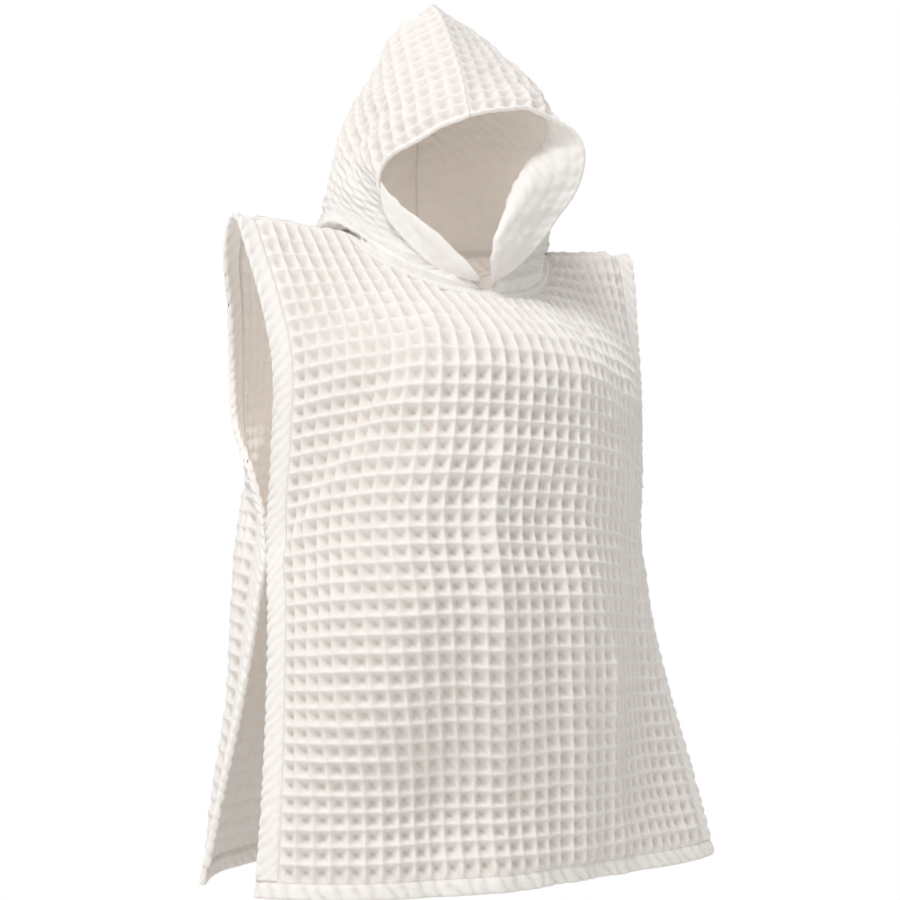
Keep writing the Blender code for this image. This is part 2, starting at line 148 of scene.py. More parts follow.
# %% Sizes and sections
PANEL_WIDTH = 545.0
PANEL_LENGTH = 630.0
SIDE_HEM = 24.0
BOTTOM_HEM = 17.0
NECK_HALF_WIDTH = 130.0
NECK_DROP = {"front": 82.0, "back": 24.0}
NECK_BAND = 9.0
SHOULDER_ROLL = 13.0
STATIONS = np.linspace(0.0, 1.0, 9)
SECTIONS = {
    "front": (
        # down, height, rise, right edge x, y, left edge x, y, headings
        (0, -3, -15, -213, 0, 212, 0, (-8, -6, -4, -2, 0, 2, 4, 6, 8)),
        (7, -4, -15, -213, 0, 212, 0, (-8, -6, -4, -2, 0, 2, 4, 6, 8)),
        (30, -27, -9, -211, -12, 210, -8, (-12, -12, -9, -5, 0, 3, 6, 8, 10)),
        (80, -86, 12, -203, -38, 205, -20, (-26, -25, -20, -10, 0, 6, 12, 17, 22)),
        (140, -147, 18, -194, -50, 205, -24, (-54, -54, -46, -18, 2, 16, 26, 34, 40)),
        (220, -226, 17, -190, -40, 206, -22, (-66, -64, -54, -14, 0, 18, 30, 39, 48)),
        (299, -302, 15, -190, -30, 204, -22, (-70, -68, -54, -8, 2, 20, 33, 42, 54)),
        (370, -368, 13, -192, -42, 213, -24, (-70, -68, -44, -6, 0, 24, 34, 38, 52)),
        (460, -453, 9, -195, -48, 235, -26, (-68, -60, -24, -6, -4, 22, 34, 26, 44)),
        (550, -537, 3, -201, -54, 262, -28, (-58, -36, -8, -10, -6, 24, 26, 14, 38)),
        (630, -612, 0, -207, -56, 284, -28, (-50, -30, -14, -4, 8, 24, 6, 20, 40)),
    ),
    "back": (
        (0, -3, -15, -213, 0, 212, 0, (8, 6, 4, 2, 0, -2, -4, -6, -8)),
        (7, -4, -15, -213, 0, 212, 0, (8, 6, 4, 2, 0, -2, -4, -6, -8)),
        (30, -27, -9, -210, 18, 209, 16, (12, 12, 8, 4, 0, -4, -8, -12, -12)),
        (80, -85, 10, -196, 44, 197, 42, (26, 24, 18, 8, 0, -8, -18, -24, -26)),
        (140, -147, 15, -187, 62, 190, 60, (36, 34, 26, 11, 0, -11, -26, -34, -36)),
        (180, -188, 16, -186, 54, 190, 48, (50, 44, 30, 12, 0, -12, -30, -44, -50)),
        (240, -246, 15, -188, -10, 196, -4, (80, 64, 38, 12, -2, -12, -38, -60, -78)),
        (299, -302, 13, -190, -54.5, 204, -44, (94, 76, 44, 12, -2, -14, -42, -70, -92)),
        (370, -368, 11, -196, -50, 209, -36, (92, 74, 42, 8, 0, -14, -44, -66, -88)),
        (460, -453, 8, -206, -36, 220, -20, (82, 64, 36, 4, 2, -18, -46, -52, -78)),
        (550, -537, 3, -218, -18, 232, -2, (76, 56, 26, -2, 6, -18, -44, -38, -68)),
        (630, -612, 0, -229, -2, 242, 14, (64, 46, 20, -6, 8, -20, -42, -30, -58)),
    ),
}


def glide(keys, rows, at):
    """Reads a table smoothly between its rows: a cubic whose slopes come from the neighbours."""
    keys = np.asarray(keys, float)
    rows = np.asarray(rows, float)
    at = np.atleast_1d(np.asarray(at, float))
    slopes = np.gradient(rows, keys, axis=0)
    low = np.clip(np.searchsorted(keys, at, side="right") - 1, 0, len(keys) - 2)
    span = keys[low + 1] - keys[low]
    shape = (len(at),) + (1,) * (rows.ndim - 1)
    t = ((at - keys[low]) / span).reshape(shape)
    span = span.reshape(shape)
    return (rows[low] * (1 + 2 * t) * (1 - t) ** 2 + slopes[low] * span * t * (1 - t) ** 2
            + rows[low + 1] * t * t * (3 - 2 * t) + slopes[low + 1] * span * t * t * (t - 1))


def hang(name):
    """Works out where a panel's cloth lies: a fine grid of points over its flat cut."""
    side = -1 if name == "front" else 1
    sections = SECTIONS[name]
    across = np.linspace(-PANEL_WIDTH / 2, PANEL_WIDTH / 2, 107)
    down = np.linspace(0.0, PANEL_LENGTH, 121)
    keys = [row[0] for row in sections]
    levels = glide(keys, [row[1:7] for row in sections], down)
    headings = glide(keys, [row[7] for row in sections], down)
    middle = (across[1:] + across[:-1]) / 2
    points = np.zeros((len(down), len(across), 3))
    for k, v in enumerate(down):
        height, rise, right_x, right_y, left_x, left_y = levels[k]
        turn = np.radians(glide(STATIONS, headings[k], middle / PANEL_WIDTH + 0.5))
        run = np.concatenate(([0.0], np.cumsum(np.exp(1j * turn))))
        right = complex(right_x, right_y)
        plan = right + run * (complex(left_x, left_y) - right) / run[-1]
        roll = side * SHOULDER_ROLL * math.sin(min(v / SHOULDER_ROLL, math.pi / 2))
        arch = 1.0 - np.abs(2.0 * across / PANEL_WIDTH) ** 2.4
        points[k] = np.stack((plan.real, plan.imag + roll, height + rise * arch), axis=-1)
    return points


HUNG = {name: hang(name) for name in SECTIONS}


def cubic_weights(t):
    """How much each of four neighbours in a row counts at t between the middle two."""
    return np.stack((-t ** 3 + 2 * t ** 2 - t, 3 * t ** 3 - 5 * t ** 2 + 2,
                     -3 * t ** 3 + 4 * t ** 2 + t, t ** 3 - t ** 2)) / 2


def place(name, across, down):
    """The worn places of any points of a panel's flat cut, on the middle of the cloth."""
    grid = HUNG[name]
    grid = np.concatenate((2 * grid[:1] - grid[1:2], grid, 2 * grid[-1:] - grid[-2:-1]))
    grid = np.concatenate((2 * grid[:, :1] - grid[:, 1:2], grid, 2 * grid[:, -1:] - grid[:, -2:-1]), axis=1)
    across, down = np.broadcast_arrays(across, down)
    c = (np.asarray(across, float) / PANEL_WIDTH + 0.5) * (grid.shape[1] - 3)
    r = np.asarray(down, float) / PANEL_LENGTH * (grid.shape[0] - 3)
    c0 = np.clip(np.floor(c).astype(int), 0, grid.shape[1] - 4)
    r0 = np.clip(np.floor(r).astype(int), 0, grid.shape[0] - 4)
    wc = cubic_weights(c - c0)
    wr = cubic_weights(r - r0)
    return sum((wr[i] * wc[j])[..., None] * grid[r0 + i, c0 + j] for i in range(4) for j in range(4))


def facing(name, across, down):
    """Unit vectors out of a panel's cloth, away from the wearer."""
    along = place(name, across + 1.0, down) - place(name, across - 1.0, down)
    fall = place(name, across, down + 1.0) - place(name, across, down - 1.0)
    out = np.cross(fall, along) * (1 if name == "front" else -1)
    return out / np.linalg.norm(out, axis=-1, keepdims=True)


print("front hem level at", round(float(place("front", 0.0, PANEL_LENGTH)[2])), "mm")

# %% [markdown]
# ## Creases
#
# Worn cloth breaks into a few long soft folds. They could be left to noise, but real folds start and
# end somewhere for a reason: at the neck, at the tack under the arm, at the corner of the hem. So
# each one is placed one by one, as a soft trough or ridge along a line of the flat cut.

# %% Creases
CREASES = {
    # from across, down, to across, down, half width, height: a minus height is a trough
    "front": (
        (-112, 110, -228, 540, 26, 3.5),
        (-150, 150, -250, 300, 14, -3.0),
        (-130, 200, -240, 320, 10, 2.5),
        (-88, 330, -110, 620, 22, -4.0),
        (-62, 260, -78, 480, 16, -2.5),
        (-34, 240, -46, 620, 13, 4.5),
        (18, 320, 22, 620, 20, -5.0),
        (100, 440, 110, 625, 16, 4.5),
        (60, 150, 90, 420, 24, 2.5),
        (150, 150, 236, 296, 14, -3.0),
        (170, 330, 205, 620, 18, -3.0),
        (-100, 96, -150, 180, 12, -2.0),
        (104, 104, 150, 200, 12, -2.5),
    ),
    "back": (
        (-140, 90, -240, 280, 16, -3.5),
        (-60, 60, -110, 330, 22, 3.0),
        (30, 120, 40, 560, 26, -3.5),
        (-50, 330, -90, 620, 24, 3.5),
        (140, 90, 236, 285, 16, -3.5),
        (90, 200, 130, 600, 22, 3.5),
        (190, 330, 210, 620, 16, -3.0),
        (-190, 330, -170, 620, 18, -3.0),
    ),
    "hood_right": (
        (60, 60, 70, 250, 20, -3.0),
    ),
    "hood_left": (
        (60, 60, 70, 250, 20, -3.0),
    ),
}


def press(name, across, down):
    """How far the creases move the cloth out at places of the flat cut."""
    moved = np.zeros(np.broadcast(across, down).shape)
    for a0, d0, a1, d1, half, height in CREASES[name]:
        way_a, way_d = a1 - a0, d1 - d0
        length = math.hypot(way_a, way_d)
        along = ((across - a0) * way_a + (down - d0) * way_d) / length
        off = ((across - a0) * way_d - (down - d0) * way_a) / length
        past = np.maximum(np.maximum(-along, along - length), 0.0) / (2.0 * half)
        moved += height * np.exp(-(off / half) ** 2 - past ** 2)
    return moved


def worn(name, across, down):
    """Places and outward directions on a panel, with its creases pressed in."""
    out = facing(name, across, down)
    return place(name, across, down) + out * press(name, across, down)[..., None], out


print(sum(len(rows) for rows in CREASES.values()), "creases placed")

# %% [markdown]
# ## One piece of cloth
#
# Cloth has two faces and a thickness. Solidify could give the wall, but here the outside shows deep
# waffle while the inside is flattened by wear, and a hem is thick at its rolled edge and thin at its
# stitching. So a piece is built as two skins with a rim between them, and each point remembers where
# it was in the flat cut (a UV map named cut) and which way the relief pushes it (lift).


# %% Build a piece of cloth
def cloth_piece(name, points, out, half, cut, lift_outside, lift_inside, keep=None, ring=False):
    """Makes a closed two-skin mesh from grids of places, directions, half walls and flat places."""
    rows, columns = points.shape[:2]
    index = np.arange(rows * columns).reshape(rows, columns)
    after = np.roll(index, -1, axis=1) if ring else index[:, 1:]
    before = index if ring else index[:, :-1]
    faces = np.stack((before[:-1], before[1:], after[1:], after[:-1]), axis=-1).reshape(-1, 4)
    if keep is not None:
        faces = faces[keep.reshape(-1)]
    flat_points = points.reshape(-1, 3)
    flat_out = out.reshape(-1, 3)
    a, b, c = (flat_points[faces[:, k]] for k in (0, 1, 3))
    if (np.cross(b - a, c - a) * flat_out[faces[:, 0]]).sum() < 0:
        faces = faces[:, ::-1]
    count = rows * columns
    edges = np.concatenate([faces[:, [k, (k + 1) % 4]] for k in range(4)])
    keys = np.sort(edges, axis=1) @ np.array((count, 1))
    once = np.isin(keys, np.unique(keys)[np.unique(keys, return_counts=True)[1] == 1])
    rim = edges[once]
    every = np.concatenate((faces, faces[:, ::-1] + count,
                            np.stack((rim[:, 1], rim[:, 0], rim[:, 0] + count, rim[:, 1] + count), axis=1)))
    wall = np.broadcast_to(half, (rows, columns)).reshape(-1, 1)
    skins = np.concatenate((flat_points + flat_out * wall, flat_points - flat_out * wall)) * MM
    lifts = np.concatenate((flat_out * np.broadcast_to(lift_outside, (rows, columns)).reshape(-1, 1),
                            flat_out * np.broadcast_to(lift_inside, (rows, columns)).reshape(-1, 1)))
    flat = np.tile(cut.reshape(-1, 2), (2, 1)) * MM
    used, every = np.unique(every, return_inverse=True)
    every = every.reshape(-1, 4)
    mesh = bpy.data.meshes.new(name)
    mesh.from_pydata(skins[used].tolist(), [], every.tolist())
    mesh.attributes.new("lift", "FLOAT_VECTOR", "POINT").data.foreach_set("vector", lifts[used].ravel())
    corners = np.zeros(len(mesh.loops), np.int32)
    mesh.loops.foreach_get("vertex_index", corners)
    mesh.uv_layers.new(name="cut").data.foreach_set("uv", flat[used][corners].ravel())
    mesh.shade_smooth()
    piece = bpy.data.objects.new(name, mesh)
    bpy.context.scene.collection.objects.link(piece)
    return piece


def fade(value, start, end):
    """0 before start, 1 after end, and smooth between them."""
    t = np.clip((value - start) / (end - start), 0.0, 1.0)
    return t * t * (3 - 2 * t)


# %% [markdown]
# ## Relief by Geometry Nodes
#
# In a waffle weave the long floats of warp and weft stand up as a grid of ridges round square wells
# that narrow to a plain-woven floor: each cell is a small inverted pyramid. That is one rule over the
# whole cloth, so a node tree reads the flat place of each point and pushes it along its lift. The
# hems follow a second rule: a turned edge twists as it is sewn, into slanting rope-like puckers.


# %% Helpers for node trees
FIELD = {"data_type": "FLOAT_VECTOR"}


def new_tree(kind, name, inputs, outputs):
    """A node group of the given kind with named sockets. Returns the tree, its input and output nodes."""
    tree = bpy.data.node_groups.new(name, kind)
    for direction, sockets in (("INPUT", inputs), ("OUTPUT", outputs)):
        for socket, (socket_kind, value) in sockets.items():
            made = tree.interface.new_socket(socket, in_out=direction, socket_type="NodeSocket" + socket_kind)
            if value is not None:
                made.default_value = value
    return tree, tree.nodes.new("NodeGroupInput"), tree.nodes.new("NodeGroupOutput")


def add_node(tree, kind, settings=(), **values):
    """Adds a node, sets its properties and its inputs; an input takes a number or another socket."""
    node = tree.nodes.new(kind)
    for name, value in dict(settings).items():
        setattr(node, name, value)
    for key, value in values.items():
        numbered = key[0] == "i" and key[1:].isdigit()
        socket = node.inputs[int(key[1:]) if numbered else key.replace("_", " ")]
        if isinstance(value, bpy.types.NodeSocket):
            tree.links.new(value, socket)
        else:
            socket.default_value = value
    return node


def calc(tree, operation, first, second=None, third=None):
    """A Math node's result."""
    given = {f"i{k}": v for k, v in enumerate((first, second, third)) if v is not None}
    return add_node(tree, "ShaderNodeMath", {"operation": operation}, **given).outputs[0]


def run_tree(piece, tree, **values):
    """Runs a Geometry Nodes tree on a piece and keeps the result as its plain mesh."""
    modifier = piece.modifiers.new(tree.name, "NODES")
    modifier.node_group = tree
    wanted = {key.replace("_", " "): value for key, value in values.items()}
    for socket in tree.interface.items_tree:
        if socket.in_out == "INPUT" and socket.name in wanted:
            modifier[socket.identifier] = wanted.pop(socket.name)
    assert not wanted, wanted
    graph = bpy.context.evaluated_depsgraph_get()
    mesh = bpy.data.meshes.new_from_object(piece.evaluated_get(graph), preserve_all_data_layers=True,
                                           depsgraph=graph)
    piece.modifiers.clear()
    piece.data = mesh
    mesh.name = piece.name
    return piece


# %% The waffle relief
RIDGE_BLEND = 0.05              # how softly the ridges of warp and weft meet
WELL_FLOOR, RIDGE_TOP = 0.12, 0.98      # where the well's walls start and end, from its middle
SUNK, RAISED = -0.35, 0.65      # shares of the depth below and above the cloth's middle
CROSSING = 0.14                 # how much prouder the crossings are
OUTSIDE_LIFT = 0.4              # a point lifted less than this is on the inside


def make_waffle_relief():
    tree, given, result = new_tree("GeometryNodeTree", "waffle_relief", {
        "Geometry": ("Geometry", None), "Cell Across": ("Float", 0.015), "Cell Down": ("Float", 0.0153),
        "Depth": ("Float", 0.0076), "Drift": ("Float", 0.002), "Unevenness": ("Float", 0.42),
        "Material": ("Material", None)}, {"Geometry": ("Geometry", None)})
    cut = add_node(tree, "GeometryNodeInputNamedAttribute", FIELD, Name="cut").outputs[0]
    lift = add_node(tree, "GeometryNodeInputNamedAttribute", FIELD, Name="lift").outputs[0]
    drift = add_node(tree, "ShaderNodeTexNoise", Vector=cut, Scale=22.0, Detail=1.0).outputs["Color"]
    centred = add_node(tree, "ShaderNodeVectorMath", {"operation": "SUBTRACT"}, i0=drift, i1=(0.5, 0.5, 0.5))
    drifted = add_node(tree, "ShaderNodeVectorMath", {"operation": "SCALE"}, i0=centred.outputs[0],
                       Scale=given.outputs["Drift"])
    moved = add_node(tree, "ShaderNodeVectorMath", {"operation": "ADD"}, i0=cut, i1=drifted.outputs[0])
    parts = add_node(tree, "ShaderNodeSeparateXYZ", i0=moved.outputs[0])
    sides = []
    for axis, cell in (("X", "Cell Across"), ("Y", "Cell Down")):
        share = calc(tree, "FRACT", calc(tree, "DIVIDE", parts.outputs[axis], given.outputs[cell]))
        sides.append(calc(tree, "MULTIPLY", calc(tree, "ABSOLUTE", calc(tree, "SUBTRACT", share, 0.5)), 2.0))
    nearest = calc(tree, "SMOOTH_MAX", sides[0], sides[1], RIDGE_BLEND)
    slope = add_node(tree, "ShaderNodeMapRange", Value=nearest)
    slope.inputs["From Min"].default_value = WELL_FLOOR
    slope.inputs["From Max"].default_value = RIDGE_TOP
    slope.inputs["To Min"].default_value = SUNK
    slope.inputs["To Max"].default_value = RAISED
    facing_out = add_node(tree, "ShaderNodeVectorMath", {"operation": "LENGTH"}, i0=lift).outputs["Value"]
    outside = add_node(tree, "ShaderNodeMapRange", Value=facing_out)
    outside.inputs["From Min"].default_value = OUTSIDE_LIFT
    # Painted shade: the outside skin's colour is darkened towards the middle of each well, as if the wells
    # were shaded
    painted_hollow_shade = calc(tree, "MULTIPLY", calc(tree, "SUBTRACT", 1.0, nearest), outside.outputs[0])
    crossing = calc(tree, "MULTIPLY", calc(tree, "MULTIPLY", sides[0], sides[1]), CROSSING)
    height = calc(tree, "ADD", slope.outputs[0], crossing)
    patchy = add_node(tree, "ShaderNodeTexNoise", Vector=cut, Scale=38.0, Detail=2.0).outputs["Fac"]
    uneven = calc(tree, "MULTIPLY", calc(tree, "SUBTRACT", patchy, 0.5), given.outputs["Unevenness"])
    grown = calc(tree, "MULTIPLY", height, calc(tree, "ADD", 1.0, uneven))
    total = calc(tree, "MULTIPLY", calc(tree, "ADD", grown, uneven), given.outputs["Depth"])
    offset = add_node(tree, "ShaderNodeVectorMath", {"operation": "SCALE"}, i0=lift, Scale=total)
    raised = add_node(tree, "GeometryNodeSetPosition", Geometry=given.outputs["Geometry"],
                      Offset=offset.outputs[0])
    noted = add_node(tree, "GeometryNodeStoreNamedAttribute", Geometry=raised.outputs[0], Name="painted_hollow_shade",
                     Value=painted_hollow_shade)
    realized = add_node(tree, "GeometryNodeRealizeInstances", Geometry=noted.outputs[0])
    painted = add_node(tree, "GeometryNodeSetMaterial", Geometry=realized.outputs[0],
                       Material=given.outputs["Material"])
    tree.links.new(painted.outputs[0], result.inputs["Geometry"])
    return tree


WAFFLE_RELIEF = make_waffle_relief()


# %% The hem puckers
def make_hem_puckers():
    tree, given, result = new_tree("GeometryNodeTree", "hem_puckers", {
        "Geometry": ("Geometry", None), "Pitch": ("Float", 0.0153), "Slant": ("Float", 0.9),
        "Height": ("Float", 0.0016), "Wander": ("Float", 0.5), "Material": ("Material", None)},
        {"Geometry": ("Geometry", None)})
    cut = add_node(tree, "GeometryNodeInputNamedAttribute", FIELD, Name="cut").outputs[0]
    lift = add_node(tree, "GeometryNodeInputNamedAttribute", FIELD, Name="lift").outputs[0]
    parts = add_node(tree, "ShaderNodeSeparateXYZ", i0=cut)
    wander = add_node(tree, "ShaderNodeTexNoise", Vector=cut, Scale=45.0, Detail=1.0).outputs["Fac"]
    slanted = calc(tree, "MULTIPLY_ADD", parts.outputs["X"], given.outputs["Slant"], parts.outputs["Y"])
    turns = calc(tree, "ADD", calc(tree, "DIVIDE", slanted, given.outputs["Pitch"]),
                 calc(tree, "MULTIPLY", wander, given.outputs["Wander"]))
    wave = calc(tree, "SINE", calc(tree, "MULTIPLY", turns, math.pi))
    bulge = calc(tree, "POWER", calc(tree, "ABSOLUTE", wave), 0.6)
    # Painted shade: the creases between the puckers are darkened in colour, as if shaded
    painted_hollow_shade = calc(tree, "SUBTRACT", 1.0, bulge)
    fine = add_node(tree, "ShaderNodeTexNoise", Vector=cut, Scale=160.0, Detail=2.0).outputs["Fac"]
    both = calc(tree, "ADD", calc(tree, "SUBTRACT", bulge, 0.7), calc(tree, "MULTIPLY", fine, 0.5))
    total = calc(tree, "MULTIPLY", both, given.outputs["Height"])
    offset = add_node(tree, "ShaderNodeVectorMath", {"operation": "SCALE"}, i0=lift, Scale=total)
    raised = add_node(tree, "GeometryNodeSetPosition", Geometry=given.outputs["Geometry"],
                      Offset=offset.outputs[0])
    noted = add_node(tree, "GeometryNodeStoreNamedAttribute", Geometry=raised.outputs[0], Name="painted_hollow_shade",
                     Value=painted_hollow_shade)
    realized = add_node(tree, "GeometryNodeRealizeInstances", Geometry=noted.outputs[0])
    painted = add_node(tree, "GeometryNodeSetMaterial", Geometry=realized.outputs[0],
                       Material=given.outputs["Material"])
    tree.links.new(painted.outputs[0], result.inputs["Geometry"])
    return tree


HEM_PUCKERS = make_hem_puckers()

# %% [markdown]
# ## Cotton, as a material
#
# Up close the cloth is soft two-ply cotton: a fine plain weave on the floors of the wells and on the
# hems, longer floats on the ridges, and a haze of loose fibre that catches light at grazing angles.
# Colour hardly varies beyond a slow random tone. The wells of the waffle and the creases between the
# hem's puckers are painted darker and warmer: painted shade, added to the shade that the relief
# casts. The weave is a group, shared by the materials. How deep a point lies in a well or a pucker,
# and so how much painted shade it takes, is remembered by the relief as a point attribute.


# %% Shared finishes
def make_yarn_weave():
    tree, given, result = new_tree("ShaderNodeTree", "yarn_weave", {
        "Cut": ("Vector", None), "Yarn": ("Float", 0.0009), "Fuzz": ("Float", 0.5)},
        {"Height": ("Float", None), "Tint": ("Float", None)})
    parts = add_node(tree, "ShaderNodeSeparateXYZ", i0=given.outputs["Cut"])
    waves = []
    for axis in ("X", "Y"):
        yarns = calc(tree, "DIVIDE", parts.outputs[axis], given.outputs["Yarn"])
        waves.append(calc(tree, "SINE", calc(tree, "MULTIPLY", yarns, math.pi)))
    weave = calc(tree, "MULTIPLY_ADD", calc(tree, "MULTIPLY", waves[0], waves[1]), 0.5, 0.5)
    place_in_cut = given.outputs["Cut"]
    fuzz = add_node(tree, "ShaderNodeTexNoise", Vector=place_in_cut, Scale=900.0, Detail=3.0).outputs["Fac"]
    height = calc(tree, "MULTIPLY_ADD", fuzz, given.outputs["Fuzz"], weave)
    tree.links.new(height, result.inputs["Height"])
    slow = add_node(tree, "ShaderNodeTexNoise", Vector=place_in_cut, Scale=60.0, Detail=4.0).outputs["Fac"]
    tree.links.new(slow, result.inputs["Tint"])
    return tree


YARN_WEAVE = make_yarn_weave()
CELL_ACROSS = (PANEL_WIDTH - 2 * SIDE_HEM - 1.0) / 33
CELL_DOWN = (PANEL_LENGTH - BOTTOM_HEM) / 40


def cotton(name, pale, shade_and_tone_colour, yarn, bump, painted_shade_strength, sheen=0.25):
    """A cotton material; its darker colour is painted shade in the wells and the pucker creases, with a slow
    random tone.
    """
    material = bpy.data.materials.new(name)
    material.use_nodes = True
    tree = material.node_tree
    shader = tree.nodes["Principled BSDF"]
    shader.inputs["Sheen Weight"].default_value = sheen
    shader.inputs["Sheen Roughness"].default_value = 0.6
    cut = add_node(tree, "ShaderNodeUVMap", {"uv_map": "cut"}).outputs["UV"]
    weave = add_node(tree, "ShaderNodeGroup", {"node_tree": YARN_WEAVE}, Cut=cut, Yarn=yarn)
    # Painted shade: the colour goes towards the darker one as deep as a point lies in a well or pucker
    # crease, plus a slow random tone
    painted_hollow_shade = add_node(tree, "ShaderNodeAttribute", {"attribute_name": "painted_hollow_shade"}).outputs["Fac"]
    shade_and_tone_share = calc(tree, "MULTIPLY_ADD", painted_hollow_shade, painted_shade_strength, calc(tree, "MULTIPLY", weave.outputs["Tint"], 0.25))
    colours = add_node(tree, "ShaderNodeMix", {"data_type": "RGBA"}, i0=shade_and_tone_share)
    colours.inputs[6].default_value = (*pale, 1.0)
    colours.inputs[7].default_value = (*shade_and_tone_colour, 1.0)
    tree.links.new(colours.outputs[2], shader.inputs["Base Color"])
    rough = calc(tree, "MULTIPLY_ADD", weave.outputs["Height"], 0.06, 0.86)
    tree.links.new(rough, shader.inputs["Roughness"])
    relief = add_node(tree, "ShaderNodeBump", Height=weave.outputs["Height"], Distance=bump * MM,
                      Strength=0.7)
    tree.links.new(relief.outputs["Normal"], shader.inputs["Normal"])
    return material


# The darker colours are painted shade for the wells and pucker creases; the thread's is only random tone
WAFFLE_COTTON = cotton("waffle_cotton", (0.885, 0.866, 0.846), (0.70, 0.625, 0.57), 0.0008, 0.25, 0.8)
HEM_COTTON = cotton("hem_cotton", (0.882, 0.862, 0.842), (0.74, 0.68, 0.63), 0.0007, 0.2, 0.5)
THREAD = cotton("sewing_thread", (0.78, 0.74, 0.69), (0.72, 0.67, 0.62), 0.0003, 0.08, 0.0, 0.1)
print("materials:", [m.name for m in (WAFFLE_COTTON, HEM_COTTON, THREAD)])

# %% [markdown]
# ## Front and back panels
#
# Each panel is laid out over its own flat cut with the lines of the mesh on the lines of the weave:
# six to a cell, one on each ridge and one down the middle of the wells, so that the small pyramids
# come out sharp with few faces. The neck hole is cut out of the grid, and the points round it are
# drawn onto its edge, which lies under the neck band.

# %% Panels
CELL_LINES = np.array((0.0, 0.09, 0.29, 0.5, 0.71, 0.91))
WALL = 1.0
PANEL_TUCK = 4.0


def cell_lines(count, cell):
    """Places of the mesh lines over a number of cells."""
    return np.append((np.arange(count)[:, None] + CELL_LINES).ravel(), count) * cell


def make_panel(name):
    side_edge = PANEL_WIDTH / 2 - SIDE_HEM
    across, down = np.meshgrid(cell_lines(33, CELL_ACROSS) - 16.5 * CELL_ACROSS, cell_lines(40, CELL_DOWN))
    flat = np.stack((across + 16.5 * CELL_ACROSS, down), axis=-1)
    hole_across, hole_down = NECK_HALF_WIDTH + PANEL_TUCK, NECK_DROP[name] + PANEL_TUCK
    reach = np.hypot(across / hole_across, down / hole_down)
    inside = reach < 1.006
    scale = np.where(inside, 1.0 / np.maximum(reach, 0.3), 1.0)
    corners = (inside[:-1, :-1], inside[1:, :-1], inside[1:, 1:], inside[:-1, 1:])
    keep = ~np.logical_and.reduce(corners)
    across, down = across * scale, down * scale
    stretch = (side_edge + 1.6) / (16.5 * CELL_ACROSS)
    across = np.where(np.abs(across) > 16.4 * CELL_ACROSS, across * stretch, across)
    down = np.where(down < 0.01, -0.3, np.where(down > 39.9 * CELL_DOWN, down + 2.0, down))
    points, out = worn(name, across, down)
    band_across, band_down = NECK_HALF_WIDTH + NECK_BAND, NECK_DROP[name] + NECK_BAND
    to_neck = (np.hypot(across / band_across, down / band_down) - 1.0) * 90.0
    relief = (fade(to_neck, -2.0, 3.0) * fade(side_edge - np.abs(across), -1.0, 4.0)
              * fade(PANEL_LENGTH - BOTTOM_HEM - down, -2.0, 4.0))
    piece = cloth_piece(name + "_cloth", points, out, WALL, flat, relief, relief * 0.4, keep)
    run_tree(piece, WAFFLE_RELIEF, Cell_Across=CELL_ACROSS * MM, Cell_Down=CELL_DOWN * MM,
             Material=WAFFLE_COTTON)
    print(piece.name, len(piece.data.polygons) * 2, "triangles")
    return piece


panels = {name: make_panel(name) for name in SECTIONS}

# %% [markdown]
# ## Hems
#
# A free edge of waffle cloth would fray, so it is turned in twice and stitched. The fold makes a
# round rolled edge, the layers lie flatter inside it, and the line of stitches pulls them thin. The
# same profile, read across the hem from its free edge, makes the side hems and the bottom hems.


# %% Hems
def hem_profile(width, roll, body, groove):
    """Distances from the free edge, and half the thickness there."""
    turn = np.radians(np.array((10, 28, 46, 66, 90)))
    edge = roll * (1 - np.cos(turn)), roll * np.sin(turn)
    flat = np.linspace(roll + 1.6, width - 5.0, 7)
    settle = fade(flat, roll, width * 0.6)
    inner = np.array((width - 3.4, width - 2.3, width - 1.2, width + 0.4))
    inner_half = np.array((body, groove, groove, body * 0.72))
    return (np.concatenate((edge[0], flat, inner)),
            np.concatenate((edge[1], roll * (1 - settle) + body * settle, inner_half)))


def make_side_hem(name, side):
    inset, half = hem_profile(SIDE_HEM, 2.6, 2.1, 0.8)
    down = np.linspace(-0.3, PANEL_LENGTH - BOTTOM_HEM + 1.0, 330)
    inset, down = np.meshgrid(inset, down)
    points, out = worn(name, side * (PANEL_WIDTH / 2 - inset), down)
    lift = 1.0 - 0.85 * fade(inset, 5.0, 11.0) - 0.15 * fade(inset, 17.0, 20.0)
    piece = cloth_piece(f"{name}_side_hem_{'right' if side < 0 else 'left'}_cloth", points, out,
                        np.tile(half, (len(down), 1)), np.stack((inset, down), axis=-1), lift, -lift * 0.6)
    run_tree(piece, HEM_PUCKERS, Pitch=CELL_DOWN * MM * 0.75, Slant=0.9, Height=0.003, Wander=1.4,
             Material=HEM_COTTON)
    return piece


def make_bottom_hem(name):
    inset, half = hem_profile(BOTTOM_HEM, 2.6, 2.2, 1.0)
    across = np.linspace(-PANEL_WIDTH / 2 - 0.3, PANEL_WIDTH / 2 + 0.3, 290)
    inset, across = np.meshgrid(inset, across)
    points, out = worn(name, across, PANEL_LENGTH - inset)
    from_end = np.clip((PANEL_WIDTH / 2 + 0.35 - np.abs(across)) / 2.4, 0.0, 1.0)
    thickness = (np.tile(half, (len(across), 1)) + 0.25) * np.sqrt(1 - (1 - from_end) ** 2).clip(0.15)
    lift = 1.0 - fade(inset, 10.0, 13.5)
    piece = cloth_piece(name + "_bottom_hem_cloth", points, out, thickness,
                        np.stack((inset, across + PANEL_WIDTH / 2), axis=-1), lift, -lift * 0.6)
    run_tree(piece, HEM_PUCKERS, Pitch=CELL_ACROSS * MM, Slant=0.5, Height=0.0026, Wander=1.3,
             Material=HEM_COTTON)
    return piece


